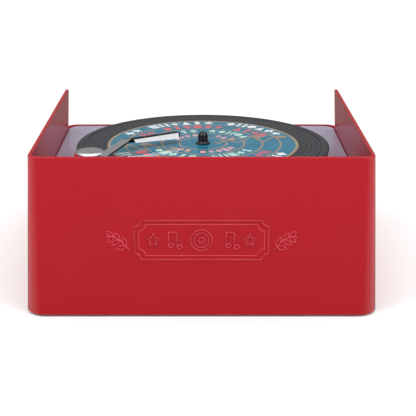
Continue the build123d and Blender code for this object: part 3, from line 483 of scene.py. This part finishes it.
def star(points, outer, inner):
    """Outline of a star with one point upwards."""
    outline = []
    for i in range(2 * points):
        r = outer if i % 2 == 0 else inner
        a = math.pi / 2 + math.pi * i / points
        outline.append((r * math.cos(a), r * math.sin(a)))
    return outline


def box_mark(u0, v0, u1, v1):
    return [(u0, v0), (u1, v0), (u1, v1), (u0, v1)]


MARKS = [
    [box_mark(-0.42, -0.5, -0.16, 0.5), box_mark(0.16, -0.5, 0.42, 0.5)],
    [[(0, 0.5), (0.45, 0), (0, -0.5), (-0.45, 0)]],
    [
        box_mark(-0.44, 0.22, 0.44, 0.5),
        box_mark(-0.44, -0.14, 0.44, 0.14),
        box_mark(-0.44, -0.5, 0.44, -0.22),
    ],
    [star(5, 0.54, 0.24)],
    [
        box_mark(-0.13, -0.5, 0.13, 0.5),
        box_mark(-0.44, -0.15, -0.13, 0.15),
        box_mark(0.13, -0.15, 0.44, 0.15),
    ],
    [disc(0, 0.25, 0.25), disc(0, -0.27, 0.25)],
    [[(-0.45, -0.5), (0.45, -0.5), (0, 0.5)]],
    [disc(0, 0, 0.44)],
    [star(4, 0.56, 0.2)],
]


def print_marks(name, ink, middle, tall, wide, step, offset):
    """Rows of plain marks that follow one ring, along the far arc and the near arc."""
    outlines = []
    turn = math.degrees(step / middle)
    index = offset
    for start in (SPRIG_GAP, 180 + SPRIG_GAP):
        count = int((180 - 2 * SPRIG_GAP) / turn)
        margin = (180 - 2 * SPRIG_GAP - (count - 1) * turn) / 2
        for i in range(count):
            if (i + offset) % GROUP == GROUP - 1:
                continue
            angle = start + margin + i * turn
            for outline in MARKS[index % len(MARKS)]:
                points = []
                for u, v in outline:
                    r = middle + v * tall
                    a = math.radians(angle) + u * wide / middle
                    points.append((r * math.cos(a), r * math.sin(a)))
                outlines.append(points)
            index += 1 + (i % 2)
    verts, faces = prisms(outlines, on_label, PRINT_THICK)
    new_piece(name, verts, faces, ink, "turntable")


def leaf(cx, cy, length, width, heading):
    """A pointed leaf that starts at (cx, cy)."""
    ca, sa = math.cos(math.radians(heading)), math.sin(math.radians(heading))
    profile = [(t / 8, math.sin(math.pi * t / 8) ** 0.8 * width / 2) for t in range(9)]
    points = [(x * length, y) for x, y in profile] + [(x * length, -y) for x, y in profile[-2:0:-1]]
    return [(cx + x * ca - y * sa, cy + x * sa + y * ca) for x, y in points]


def print_sprigs():
    """A zigzag stem with a broad leaf at three of its bends, on each side of the label."""
    outlines = []
    stem = [(8, -4), (11, 1), (16, -10), (24, -2), (28, -5), (34.5, -19), (42, -4), (50.5, -18)]
    leaves = [((16, -10), 8.0, 4.2), ((34.5, -19), 10.0, 5.6), ((50.5, -18), 9.5, 5.6)]
    for side, drop in ((-1, 0.0), (1, 22.0)):
        points = [(side * x, y + drop) for x, y in stem]
        outlines.append(ribbon(points, 1.3))
        for (x, y), length, width in leaves:
            outlines.append(leaf(side * x, y + drop, length, width, 90 - 90 * side))
    verts, faces = prisms(outlines, lambda u, v, h: on_label(u, v, h + 0.02 * MM), PRINT_THICK)
    new_piece("label_sprigs", verts, faces, gold_ink, "turntable")


print_rings()
print_marks("label_marks_white", white_ink, 59.4, 8.2, 8.0, 8.6, 0)
print_marks("label_marks_coral", coral_ink, 47.7, 7.8, 7.2, 7.8, 2)
print_marks("label_marks_mint", mint_ink, 35.1, 7.6, 6.6, 7.1, 1)
print_marks("label_marks_pink", pink_ink, 22.6, 6.6, 5.2, 5.7, 3)
print_sprigs()


# ------------------------------------------------------------------ wall ornament
ORNAMENT_Z = 50.0
LINE_WIDE, LINE_TALL = 1.0 * MM, 0.7 * MM


def on_back(u, v, h):
    """A point on the outside of the back wall; u runs to the left of someone facing it."""
    z = v * MM
    return (u * MM, base_half - z * DRAFT_SLOPE + h, z)


def raised(path, closed=False, wide=LINE_WIDE, tall=LINE_TALL):
    """A raised line on the back wall; the path is in millimetres about the ornament's middle."""
    path = [(u, v + ORNAMENT_Z) for u, v in path]
    return ridge(path, closed, wide / MM, tall, on_back)


def plaque(half_w, half_h, bite):
    """Frame with a round bite out of each corner."""
    corners = [((1, 1), 270, 180), ((-1, 1), 0, -90), ((-1, -1), 90, 0), ((1, -1), 180, 90)]
    path = []
    for (sx, sy), start, end in corners:
        path += arc(sx * half_w, sy * half_h, bite, start, end, 8)
    return path


NOTE_X, NOTE_HALF = 17.5, 2.6
STAR_X = 29.5
SPRIG_X, SPRIG_REACH, SPRIG_STEPS = 43.5, 15.5, 12


def wall_ornament():
    """A plaque with music motifs between two leafy sprigs."""
    shapes = [
        raised(plaque(41, 12.5, 4.0), True),
        raised(plaque(38.4, 9.9, 4.2), True, 0.5 * MM, 0.3 * MM),
    ]
    for r, wide in ((6.6, 0.9), (4.6, 0.5), (1.8, 0.9)):
        shapes.append(raised(arc(0, 0, r, 0, 350, 35), True, wide * MM))
    for side in (-1, 1):
        # two joined notes
        left, right = side * NOTE_X - NOTE_HALF, side * NOTE_X + NOTE_HALF
        for x, drop in ((left, 0.0), (right, 0.8)):
            shapes.append(raised(arc(x - 1.5, -4.2 + drop, 1.4, 0, 330, 11), True, 1.0 * MM))
            shapes.append(raised([(x, -4.0 + drop), (x, 4.4 + drop)], False, 0.8 * MM))
        shapes.append(raised([(left, 4.4), (right, 5.2)], False, 1.5 * MM))
        # a small star
        outline = [(side * STAR_X + u, v) for u, v in star(5, 4.2, 1.8)]
        shapes.append(raised(outline, True, 0.7 * MM))
        # sprig: a stem that curls away from the plaque, with leaves in pairs
        stem = []
        for i in range(SPRIG_STEPS + 1):
            share = i / SPRIG_STEPS
            rise = 9.5 * math.sin(math.pi * 0.62 * share)
            stem.append((side * (SPRIG_X + SPRIG_REACH * share), -7.0 + rise))
        shapes.append(raised(stem))
        for i in (2, 5, 8):
            x, y = stem[i]
            for turn in (42, -42):
                heading = 38 - 5 * i + turn
                heading = heading if side > 0 else 180 - heading
                outline = leaf(x, y, 6.6 - 0.2 * i, 2.6, heading)
                shapes.append(raised(outline, True, 0.6 * MM, 0.38 * MM))
    verts, faces = joined(shapes)
    new_piece("wall_ornament", verts, faces, raised_red, "case", smooth=True)


wall_ornament()

# ------------------------------------------------------------------ front panel print
PANEL_Z = 36.0
TICKS, TICK_START, TICK_END, TICK_LONG_END = 11, 14.2, 15.6, 16.6
TICK_TURN = 30  # degrees between ticks


def on_front(u, v, h):
    """A point on the outside of the front wall; v is measured up from the controls' row."""
    z = (PANEL_Z + v) * MM
    return (u * MM, -(base_half - z * DRAFT_SLOPE) - h, z)


def node_middle_x(node):
    """Middle of a node across the front, in millimetres."""
    low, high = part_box(node)
    return (low.x + high.x) / 2 / MM


def front_print():
    """Volume ticks round the knob's dish, a play triangle and a power ring."""
    outlines = []
    knob = node_middle_x("volume_knob")
    for i in range(TICKS):
        a = math.radians(240 - TICK_TURN * i)
        end = TICK_LONG_END if i % 5 == 0 else TICK_END
        tick = [(knob + r * math.cos(a), r * math.sin(a)) for r in (TICK_START, end)]
        outlines.append(ribbon(tick, 0.6))
    play = node_middle_x("play_button")
    outlines.append([(play - 1.5, 9.4), (play + 1.9, 11.4), (play - 1.5, 13.4)])
    power = node_middle_x("power_button")
    outlines.append(ribbon(arc(power, 11.2, 1.8, 125, 415, 20), 0.5))
    outlines.append(ribbon([(power, 11.4), (power, 13.9)], 0.5))
    verts, faces = prisms(outlines, on_front, 0.05 * MM)
    new_piece("front_print", verts, faces, white_ink, "case")


front_print()

# ------------------------------------------------------------------ stage, light, camera
FLOOR = 30.0  # half its side
floor_corners = [(-FLOOR, -FLOOR, 0), (FLOOR, -FLOOR, 0), (FLOOR, FLOOR, 0), (-FLOOR, FLOOR, 0)]
floor_mesh = bpy.data.meshes.new("floor")
floor_mesh.from_pydata(floor_corners, [], [[0, 1, 2, 3]])
floor = bpy.data.objects.new("floor", floor_mesh)
bpy.context.scene.collection.objects.link(floor)
floor_mesh.materials.append(shade("floor_paper", (247, 247, 247), 0.01, 2.0, (0.85, 0.95), 60.0, 0.02))
floor.visible_glossy = False  # reflections see the studio, not the paper


def soft_light(name, place, aim, size, power):
    """A rectangular lamp at a place, turned to face a point."""
    data = bpy.data.lights.new(name, "AREA")
    data.shape = "RECTANGLE"
    data.size, data.size_y = size
    data.energy = power
    lamp = bpy.data.objects.new(name, data)
    lamp.location = place
    lamp.rotation_euler = (Vector(aim) - Vector(place)).to_track_quat("-Z", "Y").to_euler()
    bpy.context.scene.collection.objects.link(lamp)


BOX_SIZE, BOX_POWER = (0.28, 0.5), 4.0
middle = (cad_low + cad_high) / 2
for side in (-1, 1):
    soft_light(f"soft_box{side:+d}", (side * 0.75, 0.65, 1.0), middle, BOX_SIZE, BOX_POWER)
sun_data = bpy.data.lights.new("sky_sun", "SUN")
sun_data.energy = 1.1
sun_data.angle = math.radians(70)
sun = bpy.data.objects.new("sky_sun", sun_data)
sun.rotation_euler = (math.radians(-12), 0, 0)
bpy.context.scene.collection.objects.link(sun)


def world_math(tree, operation, a, b=None):
    """A math node on sockets or numbers."""
    node = tree.nodes.new("ShaderNodeMath")
    node.operation = operation
    for socket, value in zip(node.inputs, (a, b)):
        if isinstance(value, float):
            socket.default_value = value
        elif value is not None:
            tree.links.new(value, socket)
    return node.outputs[0]


def world_ramp(tree, value, start, end):
    """A smooth rise from 0 at start to 1 at end."""
    ramp = tree.nodes.new("ShaderNodeMapRange")
    ramp.interpolation_type = "SMOOTHSTEP"
    tree.links.new(value, ramp.inputs["Value"])
    ramp.inputs["From Min"].default_value = start
    ramp.inputs["From Max"].default_value = end
    return ramp.outputs["Result"]


FAR_GREY, NEAR_WHITE, SIDE_WHITE = 0.30, 0.95, 1.2  # strengths of the sky
GAP_HALF, GAP_DEPTH = 0.15, 0.96  # the dark gap's half width and how dark it is


def studio_world():
    """A grey room, white overhead and at +Y, with bright low sides and a dark gap high at +Y."""
    world = bpy.data.worlds.new("studio")
    world.use_nodes = True
    tree = world.node_tree
    coords = tree.nodes.new("ShaderNodeTexCoord")
    split = tree.nodes.new("ShaderNodeSeparateXYZ")
    tree.links.new(coords.outputs["Generated"], split.inputs[0])
    above = world_ramp(tree, split.outputs["Z"], -0.25, 0.05)
    near = world_math(tree, "MULTIPLY", world_ramp(tree, split.outputs["Y"], -0.15, 0.5), above)
    over = world_ramp(tree, split.outputs["Z"], 0.4, 0.85)
    white = world_math(tree, "MAXIMUM", near, over)
    sideways = world_math(tree, "ABSOLUTE", split.outputs["X"])
    low = world_math(tree, "SUBTRACT", 1.0, world_ramp(tree, split.outputs["Z"], -0.1, 0.3))
    side = world_math(tree, "MULTIPLY", world_ramp(tree, sideways, 0.6, 0.9), low)
    box = world_ramp(tree, sideways, GAP_HALF, GAP_HALF + 0.08)
    high = world_ramp(tree, split.outputs["Z"], 0.5, 0.7)
    middle_only = world_math(tree, "SUBTRACT", 1.0, box)
    gap = world_math(tree, "MULTIPLY", world_math(tree, "MULTIPLY", near, high), middle_only)
    light = world_math(tree, "MULTIPLY", white, NEAR_WHITE - FAR_GREY)
    light = world_math(tree, "ADD", light, FAR_GREY)
    light = world_math(tree, "ADD", light, world_math(tree, "MULTIPLY", side, SIDE_WHITE))
    kept = world_math(tree, "SUBTRACT", 1.0, world_math(tree, "MULTIPLY", gap, GAP_DEPTH))
    sky = tree.nodes["Background"]
    sky.inputs["Color"].default_value = (1.0, 1.0, 1.0, 1.0)
    tree.links.new(world_math(tree, "MULTIPLY", light, kept), sky.inputs["Strength"])
    bpy.context.scene.world = world


studio_world()
bpy.context.scene.view_settings.view_transform = "Standard"

CAMERA_PITCH = 18.345  # degrees down from level
CAMERA_BACK, CAMERA_HEIGHT = 0.6041, 0.2718  # from the tall wall's foot and above the table
camera_data = bpy.data.cameras.new("camera")
camera_data.sensor_width = 36.0
camera_data.lens = 91.6
camera_data.shift_x = 0.0154
camera = bpy.data.objects.new("camera", camera_data)
camera.location = (0.0, base_half + CAMERA_BACK, CAMERA_HEIGHT)
camera.rotation_euler = (math.radians(90 - CAMERA_PITCH), 0.0, math.pi)
bpy.context.scene.collection.objects.link(camera)
bpy.context.scene.camera = camera
